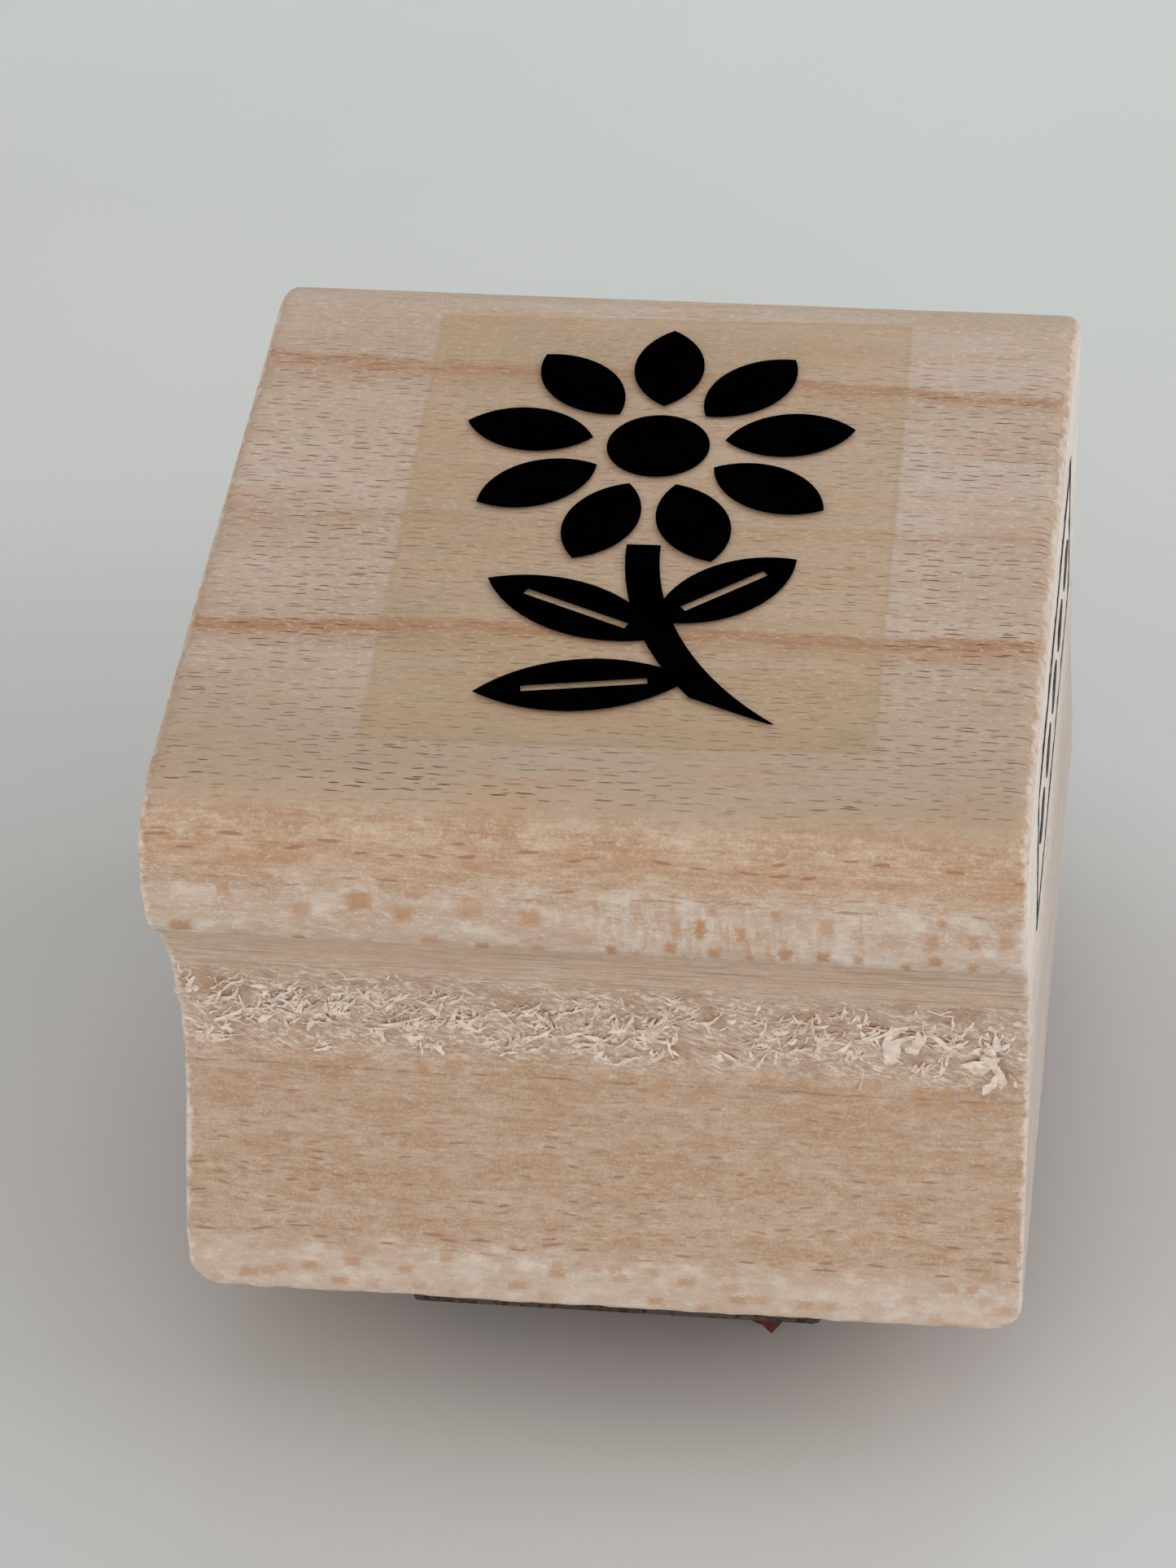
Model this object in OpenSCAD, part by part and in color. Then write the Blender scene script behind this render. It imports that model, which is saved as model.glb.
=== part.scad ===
// Wood-mounted rubber stamp. A moulded maple block has a finger groove along its front and back.
// A clear index label on top shows the print, and a trimmed rubber die sits below on a foam cushion.
// Millimetres. The origin is on the surface that the die stands on, under the middle of the block.
// +Z is up, X runs along the grain and -Y is the front.

/* [Block] */
// Width of the block, along the grain
block_w = 32; // [28:0.5:60]
// Depth of the block, from lip to lip
block_d = 35; // [35:0.5:60]
// Height of the block alone
block_h = 24.5; // [22:0.5:32]
// Depth of each finger groove below the lip
groove_depth = 3.5; // [2.5:0.1:3.7]
// Slope of the lower body below each groove, in degrees from vertical
flare_angle = 24; // [22:1:32]
// Rounding of the lip's upper edge
lip_top_r = 3.2; // [2:0.1:3.6]
// Rounding of the lip's lower edge
lip_low_r = 2.6; // [1.5:0.1:3]
// How far the base stands back from the lip
base_inset = 0.5; // [0.3:0.1:0.8]
// Rounding from the sloped lower body down to the upright base
hip_r = 3; // [1:0.5:4]
// Rounding of the base's lower edge
foot_r = 0.5; // [0.2:0.1:1]

/* [Print] */
// Width of the printed design
print_w = 15.3; // [12:0.1:18]
// Clear border of the label beside the design
label_side_border = 1.7; // [1:0.1:3]
// Clear border of the label above and below the design
label_end_border = 0.9; // [0.5:0.1:1]
// Turn of the label on the block, in degrees
label_turn = 1.5; // [-2:0.5:2]

/* [Die and cushion] */
// Rubber left around the design when the die is trimmed
trim_border = 0.4; // [0.2:0.1:1]
// Cushion left beside the design
cushion_side_border = 0.4; // [0.4:0.1:1.5]
// Cushion left in front of the design
cushion_front_border = 1.6; // [0.4:0.1:2]
// Thickness of the foam cushion
cushion_t = 3; // [2:0.1:5]
// Thickness of the rubber sheet behind the design
web_t = 1; // [0.8:0.1:2]
// Height of the raised design
relief_h = 1.2; // [0.8:0.1:2]

/* [Hidden] */
$fn = 96;

maple = [0.83, 0.70, 0.56];
ink_black = [0.02, 0.02, 0.02];
rubber_red = [0.42, 0.13, 0.10];

// Thin layers
foam_tape_t = 0.1;
label_glue_t = 0.04;
film_t = 0.08;
ink_t = 0.02;

// Heights of the layers, from the printing face up
web_z = relief_h;
die_tape_z = web_z + web_t;
cushion_z = die_tape_z + foam_tape_t;
mount_tape_z = cushion_z + cushion_t;
block_z = mount_tape_z + foam_tape_t;
top_z = block_z + block_h;

// Section of the block: the lip, the cove under it, the flared lower body, then the upright base
lip_y = block_d / 2;
lip_top_z = block_h - lip_top_r;
lip_low_z = block_h - 4.5;
lip_end_angle = 52;
shoulder_y = lip_y - lip_low_r + lip_low_r * cos(lip_end_angle);
shoulder_z = lip_low_z - lip_low_r * sin(lip_end_angle);
cove_z = 11;
cove_end_z = 9.2;
cove_rise = shoulder_z - cove_z;
cove_sag = shoulder_y - (lip_y - groove_depth);
cove_r = (cove_rise * cove_rise + cove_sag * cove_sag) / (2 * cove_sag);
cove_y = lip_y - groove_depth + cove_r;
cove_end_y = cove_y - sqrt(cove_r * cove_r - pow(cove_z - cove_end_z, 2));
base_y = lip_y - base_inset;
hip_y = base_y - hip_r;
hip_top_y = hip_y + hip_r * cos(flare_angle);
hip_z = cove_end_z - hip_r * sin(flare_angle) - (hip_top_y - cove_end_y) / tan(flare_angle);
hip_top_z = hip_z + hip_r * sin(flare_angle);

// Easing of the sawn ends, along the top and along the foot
end_top_r = 0.8;
end_foot_r = 1.4;
cut_over = 1;

// The design: one flower on a curved stem with three leaves
print_h = print_w * 1.62;
flower_r = print_w / 2;
flower_y = print_h / 2 - flower_r;
petal_count = 9;
petal_start = flower_r * 0.34;
petal_len = flower_r - petal_start;
petal_w = 2.75;
centre_r = flower_r * 0.26;
stem_w = 1.3;
stem_bend_r = 14;
stem_top = -flower_r * 0.2;
stem_foot = 0.45 - print_h / 2;
foot_cut_angle = 25;
leaf_w = 3;
vein_w = 0.34;
leaves = [
  // height of the base, angle from upright, length
  [stem_top - 4.6, -52, 6.4],
  [stem_top - 5.6, 64, 7.6],
  [stem_top - 7.9, 98, 8]
];

// Where the label sits on the block
label_at = [0.5, 0.7];
label_w = print_w + 2 * label_side_border;
label_d = print_h + 2 * label_end_border;

// Where the die sits, and the cushion that reaches a little past it at the front
die_at = [0, 0];
cushion_w = print_w + 2 * cushion_side_border;
cushion_front = -print_h / 2 - cushion_front_border;
cushion_back = print_h / 2 + cushion_side_border;
cushion_corner_r = 0.25;

// The border that is printed on the right end
border_w = 21;
border_h = 6.4;
border_line = 0.4;
border_z = 18;
border_leaves = 5;
border_leaf_pitch = 3.8;
border_leaf_len = 3.2;
border_leaf_w = 1.5;

// A pointed leaf from the origin to y = len
module leaf(len, width) {
  r = (len * len + width * width) / (4 * width);
  intersection() {
    translate([r - width / 2, len / 2]) circle(r);
    translate([width / 2 - r, len / 2]) circle(r);
  }
}

module flower() {
  circle(centre_r);
  for (i = [0 : petal_count - 1])
    rotate(i * 360 / petal_count) translate([0, petal_start]) leaf(petal_len, petal_w);
}

// x of the stem's middle at height y
function stem_x(y) = stem_bend_r - sqrt(stem_bend_r * stem_bend_r - pow(y - stem_top, 2));

// The point of the stem's foot, near its right edge
foot_tip = [stem_x(stem_foot) + 0.42 * stem_w * stem_bend_r / (stem_bend_r - stem_x(stem_foot)), stem_foot];

// The stem, with its foot cut on a slant
module stem() {
  intersection() {
    translate([stem_bend_r, stem_top]) difference() {
      circle(stem_bend_r + stem_w / 2, $fn = 180);
      circle(stem_bend_r - stem_w / 2, $fn = 180);
    }
    polygon([
      [-print_w / 2, stem_top],
      [-print_w / 2, stem_foot + (foot_tip.x + print_w / 2) * tan(foot_cut_angle)],
      foot_tip,
      [print_w / 2, stem_foot],
      [print_w / 2, stem_top]
    ]);
  }
}

// The tip of a leaf
function tip(l) = [stem_x(l[0]) - l[2] * sin(l[1]), l[0] + l[2] * cos(l[1])];

module veined_leaf(len) {
  difference() {
    leaf(len, leaf_w);
    translate([-vein_w / 2, len * 0.2]) square([vein_w, len * 0.58]);
  }
}

module design() {
  translate([0, flower_y]) flower();
  stem();
  for (l = leaves) translate([stem_x(l[0]), l[0]]) rotate(l[1]) veined_leaf(l[2]);
}

// The die's outline, trimmed by hand: round behind the flower, then straight cuts past the leaf tips
// to a point in front of the stem's foot
module die_outline() {
  t = trim_border;
  translate([0, flower_y]) circle(flower_r + t);
  polygon([
    [-flower_r, flower_y],
    tip(leaves[1]) - [t, 0],
    tip(leaves[2]) - [t, t],
    foot_tip + [-0.6, -0.35],
    foot_tip + [0.6, -1.65],
    foot_tip + [1.25, -0.45],
    tip(leaves[0]) + [t, -t],
    [flower_r, flower_y]
  ]);
}

module cushion_outline() {
  w = cushion_w;
  d = cushion_back - cushion_front;
  r = cushion_corner_r;
  translate([-w / 2, cushion_front]) {
    translate([r, 0]) square([w - 2 * r, d]);
    translate([0, r]) square([w, d - 2 * r]);
    for (x = [r, w - r], y = [r, d - r]) translate([x, y]) circle(r);
  }
}

// One side of the block's section, in y and z, from the middle out to +y
module half_section() {
  polygon([
    [0, shoulder_z],
    [shoulder_y, shoulder_z],
    [lip_y, lip_low_z],
    [lip_y, lip_top_z],
    [lip_y - lip_top_r, block_h],
    [0, block_h]
  ]);
  translate([lip_y - lip_top_r, lip_top_z]) circle(lip_top_r);
  translate([lip_y - lip_low_r, lip_low_z]) circle(lip_low_r);
  difference() {
    translate([0, cove_end_z]) square([shoulder_y, shoulder_z - cove_end_z]);
    translate([cove_y, cove_z]) circle(cove_r);
  }
  polygon([
    [0, 0],
    [base_y - foot_r, 0],
    [base_y, foot_r],
    [base_y, hip_z],
    [hip_top_y, hip_top_z],
    [cove_end_y, cove_end_z],
    [0, cove_end_z]
  ]);
  intersection() {
    translate([hip_y, hip_z]) circle(hip_r);
    square([base_y, cove_end_z]);
  }
  translate([base_y - foot_r, foot_r]) circle(foot_r);
}

// The waste that rounds a long edge: a square less a circle, running along Y
module edge_waste(r) {
  rotate([90, 0, 0]) linear_extrude(block_d + 2 * cut_over, center = true) difference() {
    square(r + cut_over);
    circle(r);
  }
}

module handle_block() {
  color(maple) translate([0, 0, block_z]) difference() {
    rotate([90, 0, 90]) linear_extrude(block_w, center = true) {
      half_section();
      mirror([1, 0]) half_section();
    }
    for (side = [0, 1]) mirror([side, 0, 0]) {
      translate([block_w / 2 - end_top_r, 0, block_h - end_top_r]) edge_waste(end_top_r);
      translate([block_w / 2 - end_foot_r, 0, end_foot_r]) mirror([0, 0, 1]) edge_waste(end_foot_r);
    }
  }
}

// A layer of the label, at a height above the block's top
module label_layer(z, t) {
  translate([label_at.x, label_at.y, top_z + z]) rotate(label_turn) linear_extrude(t) children();
}

module index_adhesive() {
  color([0.95, 0.90, 0.70, 0.4]) label_layer(0, label_glue_t) square([label_w, label_d], center = true);
}

module index_film() {
  color([0.95, 0.92, 0.80, 0.3]) label_layer(label_glue_t, film_t) square([label_w, label_d], center = true);
}

module index_print() {
  color(ink_black) label_layer(label_glue_t + film_t, ink_t) design();
}

module end_print() {
  color(ink_black) translate([block_w / 2, 0, block_z + border_z]) rotate([90, 0, 90]) linear_extrude(ink_t) {
    difference() {
      square([border_w, border_h], center = true);
      square([border_w - 2 * border_line, border_h - 2 * border_line], center = true);
    }
    for (i = [0 : border_leaves - 1])
      translate([(i - (border_leaves - 1) / 2) * border_leaf_pitch + border_leaf_len / 2, 0])
        rotate(90) leaf(border_leaf_len, border_leaf_w);
  }
}

// A layer of the stack under the block, at a height above the printing face
module stack_layer(z, t) {
  translate([die_at.x, die_at.y, z]) linear_extrude(t) children();
}

module mount_adhesive() {
  color([0.90, 0.88, 0.80]) stack_layer(mount_tape_z, foam_tape_t) cushion_outline();
}

module cushion() {
  color([0.25, 0.24, 0.23]) stack_layer(cushion_z, cushion_t) cushion_outline();
}

module die_adhesive() {
  color([0.90, 0.88, 0.80]) stack_layer(die_tape_z, foam_tape_t) die_outline();
}

module rubber_die() {
  color(rubber_red) {
    stack_layer(web_z, web_t) die_outline();
    stack_layer(0, web_z) design();
  }
}

handle_block();
index_adhesive();
index_film();
index_print();
end_print();
mount_adhesive();
cushion();
die_adhesive();
rubber_die();
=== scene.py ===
"""Looks for a wood-mounted rubber stamp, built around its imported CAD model.

The moulded maple block gets its eased, worn and torn surface in mesh code. The foam cushion and the
rubber die get soft edges. The label, the prints and the tapes keep their CAD shapes. Lengths are in
millimetres inside the script, and become metres where a mesh is made.
"""

import math
import random
from types import SimpleNamespace

import bmesh
import bpy
import numpy as np
from mathutils import Matrix, Vector, noise


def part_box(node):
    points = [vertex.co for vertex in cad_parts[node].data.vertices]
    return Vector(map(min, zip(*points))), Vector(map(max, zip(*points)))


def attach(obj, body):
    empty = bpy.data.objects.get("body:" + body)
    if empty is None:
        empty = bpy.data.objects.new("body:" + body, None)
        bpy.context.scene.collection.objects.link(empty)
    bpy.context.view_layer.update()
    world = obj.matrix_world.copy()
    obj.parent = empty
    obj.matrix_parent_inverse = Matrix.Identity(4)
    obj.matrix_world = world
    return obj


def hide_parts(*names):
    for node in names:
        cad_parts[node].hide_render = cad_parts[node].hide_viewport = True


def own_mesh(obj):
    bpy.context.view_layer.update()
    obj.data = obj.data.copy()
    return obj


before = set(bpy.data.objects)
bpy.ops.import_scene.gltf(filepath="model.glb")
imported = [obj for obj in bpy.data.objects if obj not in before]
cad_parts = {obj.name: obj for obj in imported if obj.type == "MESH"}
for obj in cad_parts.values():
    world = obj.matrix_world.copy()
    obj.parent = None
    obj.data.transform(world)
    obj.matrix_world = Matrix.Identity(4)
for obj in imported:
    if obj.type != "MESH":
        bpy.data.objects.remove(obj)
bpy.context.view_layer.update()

MM = 0.001
TAU = 2 * math.pi


# ---- places taken from the frame


def box_mm(node):
    low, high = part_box(node)
    return low / MM, high / MM


BLOCK_LOW, BLOCK_HIGH = box_mm("handle_block")
HALF_W = BLOCK_HIGH.x
LIP_Y = BLOCK_HIGH.y
BLOCK_H = BLOCK_HIGH.z - BLOCK_LOW.z
LABEL_LOW, LABEL_HIGH = box_mm("index_film")
LABEL_CENTRE = (LABEL_LOW + LABEL_HIGH) / 2
LABEL_TURN = 1.5
LABEL_W = 18.7
LABEL_D = 26.6


# ---- camera, light and floor

IMAGE_LONG_SIDE = 1927
FOCAL_PX = 6730
SENSOR = 36.0


def add_camera():
    """Looks from the front, 9 degrees round to the right and 40 degrees up, with a little roll."""
    azimuth, elevation, roll = math.radians(9.02), math.radians(39.86), math.radians(-3.05)
    aim = Vector((0, 0, BLOCK_LOW.z))
    distance, slide_right, slide_up = 222.6, -2.17, 9.45
    back = Vector((
        math.sin(azimuth) * math.cos(elevation),
        -math.cos(azimuth) * math.cos(elevation),
        math.sin(elevation),
    ))
    right = Vector((math.cos(azimuth), math.sin(azimuth), 0))
    up = back.cross(right)
    place = aim + back * distance + right * slide_right + up * slide_up
    turned_right = right * math.cos(roll) + up * math.sin(roll)
    turned_up = up * math.cos(roll) - right * math.sin(roll)
    data = bpy.data.cameras.new("camera")
    data.sensor_width = SENSOR
    data.lens = SENSOR * FOCAL_PX / IMAGE_LONG_SIDE
    data.clip_start, data.clip_end = 0.01, 10
    camera = bpy.data.objects.new("camera", data)
    turn = Matrix((turned_right, turned_up, back)).transposed()
    camera.matrix_world = Matrix.Translation(place * MM) @ turn.to_4x4()
    bpy.context.scene.collection.objects.link(camera)
    bpy.context.scene.camera = camera


def add_area_light(name, place, aim, size, power, colour):
    data = bpy.data.lights.new(name, "AREA")
    data.shape = "DISK"
    data.size = size * MM
    data.energy = power
    data.color = colour
    light = bpy.data.objects.new(name, data)
    light.location = Vector(place) * MM
    light.rotation_mode = "QUATERNION"
    light.rotation_quaternion = (Vector(aim) - Vector(place)).to_track_quat("-Z", "Y")
    bpy.context.scene.collection.objects.link(light)


def add_light():
    """A soft pale room, brighter in front, with a cool low window behind and a lamp high on the right."""
    world = bpy.data.worlds.new("room")
    world.use_nodes = True
    nodes, links = world.node_tree.nodes, world.node_tree.links
    background = nodes["Background"]
    background.inputs["Color"].default_value = (1.0, 0.97, 0.93, 1)
    forward = nodes.new("ShaderNodeVectorMath")
    forward.operation = "DOT_PRODUCT"
    forward.inputs[1].default_value = (0, -1, 0)
    links.new(nodes.new("ShaderNodeTexCoord").outputs["Generated"], forward.inputs[0])
    glow = nodes.new("ShaderNodeMapRange")
    glow.interpolation_type = "SMOOTHERSTEP"
    for key, value in {"From Min": 0.0, "From Max": 1.1, "To Min": 0.47, "To Max": 1.28}.items():
        glow.inputs[key].default_value = value
    links.new(forward.outputs["Value"], glow.inputs["Value"])
    links.new(glow.outputs["Result"], background.inputs["Strength"])
    bpy.context.scene.world = world
    bpy.context.scene.view_settings.view_transform = "Standard"
    add_area_light("window", (40, 260, 170), (0, 20, 0), 200, 0.15, (0.62, 0.96, 1.0))
    add_area_light("right_lamp", (330, 60, 260), (0, 0, 0), 260, 0.31, (1.0, 0.97, 0.98))


# ---- a small kit for materials


class Look:
    """A procedural material, whose x, y and z are millimetres, with z counted from a given height.

    Each method adds nodes and returns the socket that carries the result.
    """

    def __init__(self, name, base_z=0.0):
        self.material = bpy.data.materials.new(name)
        self.material.use_nodes = True
        self.tree = self.material.node_tree
        self.tree.nodes.clear()
        self.surface = self.add("ShaderNodeBsdfPrincipled")
        output = self.add("ShaderNodeOutputMaterial")
        self.tree.links.new(self.surface.outputs[0], output.inputs["Surface"])
        coordinates = self.add("ShaderNodeTexCoord").outputs
        self.normal = coordinates["Normal"]
        place = self.vector("MULTIPLY", coordinates["Object"], (1 / MM,) * 3)
        self.where = self.vector("SUBTRACT", place, (0, 0, base_z))
        self.x, self.y, self.z = self.split(self.where)

    def add(self, kind, inputs=None, **settings):
        node = self.tree.nodes.new(kind)
        for key, value in settings.items():
            setattr(node, key, value)
        for key, value in (inputs or {}).items():
            self.put(node.inputs[key], value)
        return node

    def put(self, socket, value):
        if isinstance(value, bpy.types.NodeSocket):
            self.tree.links.new(value, socket)
        elif socket.type == "RGBA":
            socket.default_value = (*value[:3], 1)
        else:
            socket.default_value = value

    def finish(self, colour, roughness, normal, specular=0.5, alpha=1.0):
        """Sets up the surface shader and returns the material."""
        inputs = {"Base Color": colour, "Roughness": roughness, "Normal": normal,
                  "Specular IOR Level": specular, "Alpha": alpha}
        for key, value in inputs.items():
            self.put(self.surface.inputs[key], value)
        return self.material

    def vector(self, operation, a, b=(0, 0, 0)):
        return self.add("ShaderNodeVectorMath", {0: a, 1: b}, operation=operation).outputs[0]

    def split(self, vector):
        return self.add("ShaderNodeSeparateXYZ", {0: vector}).outputs

    def join(self, x, y, z):
        return self.add("ShaderNodeCombineXYZ", {0: x, 1: y, 2: z}).outputs[0]

    def length(self, vector):
        return self.add("ShaderNodeVectorMath", {0: vector}, operation="LENGTH").outputs["Value"]

    def math(self, operation, a, b=0.0):
        return self.add("ShaderNodeMath", {0: a, 1: b}, operation=operation).outputs[0]

    def abs(self, value):
        return self.math("ABSOLUTE", value)

    def fold(self, operation, values):
        result = values[0]
        for value in values[1:]:
            result = self.math(operation, result, value)
        return result

    def times(self, *factors):
        return self.fold("MULTIPLY", factors)

    def plus(self, *terms):
        return self.fold("ADD", terms)

    def highest(self, *values):
        return self.fold("MAXIMUM", values)

    def swing(self, noise, amount):
        """A noise made to swing round zero, by up to half the amount each way."""
        return self.times(self.math("SUBTRACT", noise, 0.5), amount)

    def step(self, value, start, end, low=0.0, high=1.0):
        """Eases from low, where value is start, to high, where it is end."""
        inputs = {"Value": value, "From Min": start, "From Max": end, "To Min": low, "To Max": high}
        return self.add("ShaderNodeMapRange", inputs, interpolation_type="SMOOTHSTEP").outputs["Result"]

    def band(self, value, start, end, soft):
        """1 between start and end, with soft edges outside them."""
        rise = self.step(value, start - soft, start)
        return self.times(rise, self.step(value, end + soft, end))

    def noise(self, size, detail=3, roughness=0.5, distortion=0.0, where=None):
        """Fractal noise with features of the given size in millimetres along x, y and z."""
        scaled = self.vector("DIVIDE", where or self.where, size)
        inputs = {"Vector": scaled, "Scale": 1.0, "Detail": detail, "Roughness": roughness,
                  "Distortion": distortion}
        return self.add("ShaderNodeTexNoise", inputs).outputs["Fac"]

    def cells(self, size):
        """Distance to scattered points, and a random number for each, one point per size box."""
        inputs = {"Vector": self.vector("DIVIDE", self.where, size), "Scale": 1.0}
        node = self.add("ShaderNodeTexVoronoi", inputs)
        return node.outputs["Distance"], self.split(node.outputs["Color"])[0]

    def marks(self, u, v, cell, half, square=False, randomness=0.92):
        """Scattered marks in the plane of u and v, one per cell, of the given half length and half height.

        Returns a mask with soft edges, and two random numbers for each mark.
        """
        scaled = self.join(self.math("DIVIDE", u, cell[0]), self.math("DIVIDE", v, cell[1]), 0.0)
        inputs = {"Vector": scaled, "Scale": 1.0, "Randomness": randomness}
        node = self.add("ShaderNodeTexVoronoi", inputs, voronoi_dimensions="2D")
        chance = self.split(node.outputs["Color"])
        away = self.split(self.vector("SUBTRACT", scaled, node.outputs["Position"]))
        stretch = self.plus(0.65, self.times(chance[1], 0.7))
        across = self.abs(self.math("DIVIDE", self.times(away[0], cell[0] / half[0]), stretch))
        upward = self.abs(self.times(away[1], cell[1] / half[1]))
        if square:
            mark = self.step(self.highest(across, upward), 1.25, 0.45)
        else:
            reach = self.plus(self.times(across, across), self.times(upward, upward))
            mark = self.step(reach, 1.3, 0.35)
        return mark, chance[0], chance[2]

    def mix(self, amount, a, b, blend="MIX"):
        node = self.add("ShaderNodeMix", data_type="RGBA", blend_type=blend, clamp_result=True)
        self.put(node.inputs[0], amount)
        self.put(node.inputs[6], a)
        self.put(node.inputs[7], b)
        return node.outputs[2]

    def tint(self, base, colour, *masks):
        """The base, turned towards a colour as far as the product of the masks."""
        return self.mix(self.times(*masks), base, colour)

    def layers(self, base, rows, *within):
        """Tints the base for each row: a noise, where the tint starts and is full, amount, colour."""
        for noise_value, start, end, amount, colour in rows:
            base = self.tint(base, colour, *within, self.step(noise_value, start, end), amount)
        return base

    def bump(self, height, depth, strength):
        """A bump map whose height of 1 stands for depth, in millimetres."""
        inputs = {"Height": height, "Distance": depth * MM, "Strength": strength}
        return self.add("ShaderNodeBump", inputs).outputs["Normal"]


# ---- materials


def growth_rings(look):
    """Latewood lines across the top: 1 on a line, fading over about two millimetres towards the front."""
    drift = look.swing(look.noise((16, 14, 8), 2), 1.3)
    ripple = look.swing(look.noise((2.6, 1.6, 1.2), 3), 0.9)
    slope = look.times(look.math("SUBTRACT", look.z, BLOCK_H), 4.2)
    depth = look.plus(look.y, slope, drift, ripple)
    period = 30.0
    lines = []
    for offset, tilt, strength in ((-5.5, 0.012, 1.0), (0.9, 0.0, 0.35), (10.6, -0.034, 0.9)):
        behind = look.math("SUBTRACT", look.plus(look.times(look.x, tilt), offset + 100 * period), depth)
        ahead = look.times(look.math("FRACT", look.math("DIVIDE", behind, period)), period)
        sharp = look.band(ahead, 0.35, 0.75, 0.35)
        glow = look.times(look.step(ahead, 0.0, 0.4), look.step(ahead, 0.5, 2.6, 0.62, 0.0))
        lines.append(look.times(look.highest(sharp, glow), strength))
    broken = look.noise((2.4, 0.5, 0.5), 3, 0.6)
    return look.times(look.highest(*lines), look.step(broken, 0.30, 0.58, 0.45, 1.0))


def under_label(look):
    """1 where the label's adhesive wets the top of the block, and 1 along the edge of that patch."""
    across = look.vector("SUBTRACT", look.where, (LABEL_CENTRE.x, LABEL_CENTRE.y, 0))
    inputs = {"Vector": across, "Angle": -math.radians(LABEL_TURN)}
    x, y, z = look.split(look.add("ShaderNodeVectorRotate", inputs, rotation_type="Z_AXIS").outputs[0])
    ragged = look.swing(look.noise((0.6, 0.6, 0.6), 3), 0.22)
    beyond_x = look.plus(look.abs(x), ragged, -LABEL_W / 2)
    beyond_y = look.plus(look.abs(y), ragged, -LABEL_D / 2)
    beyond = look.highest(beyond_x, beyond_y)
    on_top = look.step(z, BLOCK_H - 0.3, BLOCK_H - 0.1)
    inside = look.times(look.step(beyond, 0.05, -0.05), on_top)
    rim = look.times(look.band(beyond, -0.12, 0.02, 0.1), on_top)
    return inside, rim


def top_dashes(look):
    """A mask of short dashes in rows along the grain, which fade at the front, the back and in patches."""
    x, y = look.x, look.y
    row = look.plus(y, look.swing(look.noise((1.1, 0.8, 1), 2), 0.22))
    long_dash, strong, _ = look.marks(x, row, (0.98, 0.40), (0.34, 0.03))
    short_dash, faint, _ = look.marks(x, look.plus(row, 7.3), (0.66, 0.36), (0.15, 0.024))
    dash = look.highest(
        look.times(long_dash, look.step(strong, 0.05, 0.80, 0.3, 1.0)),
        look.times(short_dash, look.step(faint, 0.4, 0.95, 0.0, 0.7)),
    )
    patch = look.step(look.noise((7, 4, 4), 2), 0.34, 0.60, 0.45, 1.0)
    fade = look.times(look.step(y, 14.0, 8.0, 0.35, 1.0), look.step(y, -16.6, -15.2), patch)
    return look.times(dash, fade)


def top_wood(look, rings):
    """Greyish pink wood with a faint silver sheen painted into its colour as light flecks, and rows of short
    dark dashes.
    """
    inside, rim = under_label(look)
    broad = look.noise((22, 3.4, 4), 3, 0.55)
    streak = look.noise((2.4, 0.20, 0.6), 4, 0.62)
    sheen = look.noise((0.26, 0.12, 0.3), 3, 0.62)
    blush = look.noise((6.0, 1.6, 3.0), 2, 0.5)
    front = look.step(look.y, -7.0, -13.0)
    painted_sheen = look.step(front, 0.2, 1.0, 0.44, 0.16)

    wood = look.mix(look.step(broad, 0.36, 0.64), (0.628, 0.482, 0.395), (0.562, 0.416, 0.316))
    wood = look.tint(wood, (0.515, 0.384, 0.262), front, 0.72)
    wood = look.layers(wood, (
        (streak, 0.50, 0.72, 0.30, (0.42, 0.29, 0.21)),
        (streak, 0.46, 0.28, 0.22, (0.72, 0.59, 0.50)),
        (blush, 0.48, 0.66, 0.46, (0.575, 0.365, 0.245)),
    ))
    wood = look.tint(wood, (0.452, 0.212, 0.096), rings, 0.86)
    # Painted highlight: light flecks of silver sheen, fainter at the front; the dark flecks from the same
    # noise are the wood's own
    wood = look.layers(wood, (
        (sheen, 0.52, 0.68, painted_sheen, (0.82, 0.705, 0.62)),
        (sheen, 0.48, 0.28, 0.24, (0.43, 0.31, 0.24)),
    ))

    wetted = look.mix(0.10, wood, (0.600, 0.43, 0.29))
    wetted = look.mix(1.0, wetted, (0.96, 0.89, 0.800), "MULTIPLY")
    wood = look.mix(inside, wood, wetted)
    wood = look.tint(wood, (0.46, 0.32, 0.20), rim, 0.22)
    smudge = look.vector("SUBTRACT", look.where, (LABEL_HIGH.x - 1.0, LABEL_LOW.y + 1.3, BLOCK_H))
    near = look.step(look.length(smudge), 0.9, 0.2)
    wood = look.tint(wood, (0.26, 0.26, 0.15), near, look.step(sheen, 0.44, 0.56), 0.5)
    dash = look.times(top_dashes(look), look.step(inside, 0.0, 1.0, 1.0, 0.72))
    wood = look.tint(wood, (0.16, 0.06, 0.018), dash, 0.94)
    height = look.plus(look.times(streak, 0.3), look.times(sheen, 0.4), look.times(dash, -0.8))
    return wood, height


# Where the look of the moulded sides changes, as heights above the block's underside
SEAM_Z = 22.55, 22.85
LIP_RISE_Z = 20.9, 22.4
SCRAPED_Z = 18.5, 20.7
FLECKED_Z = 18.3, 21.2
SMOOTH_COVE_Z = 14.6, 17.75
TORN_COVE_Z = 10.6, 14.2
BODY_TOP_Z = 10.2, 9.0
FOOT_TOP_Z = 3.3, 2.1
SHOULDER_CREASE_Z = 17.95
BODY_CREASE_Z = 9.35


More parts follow.
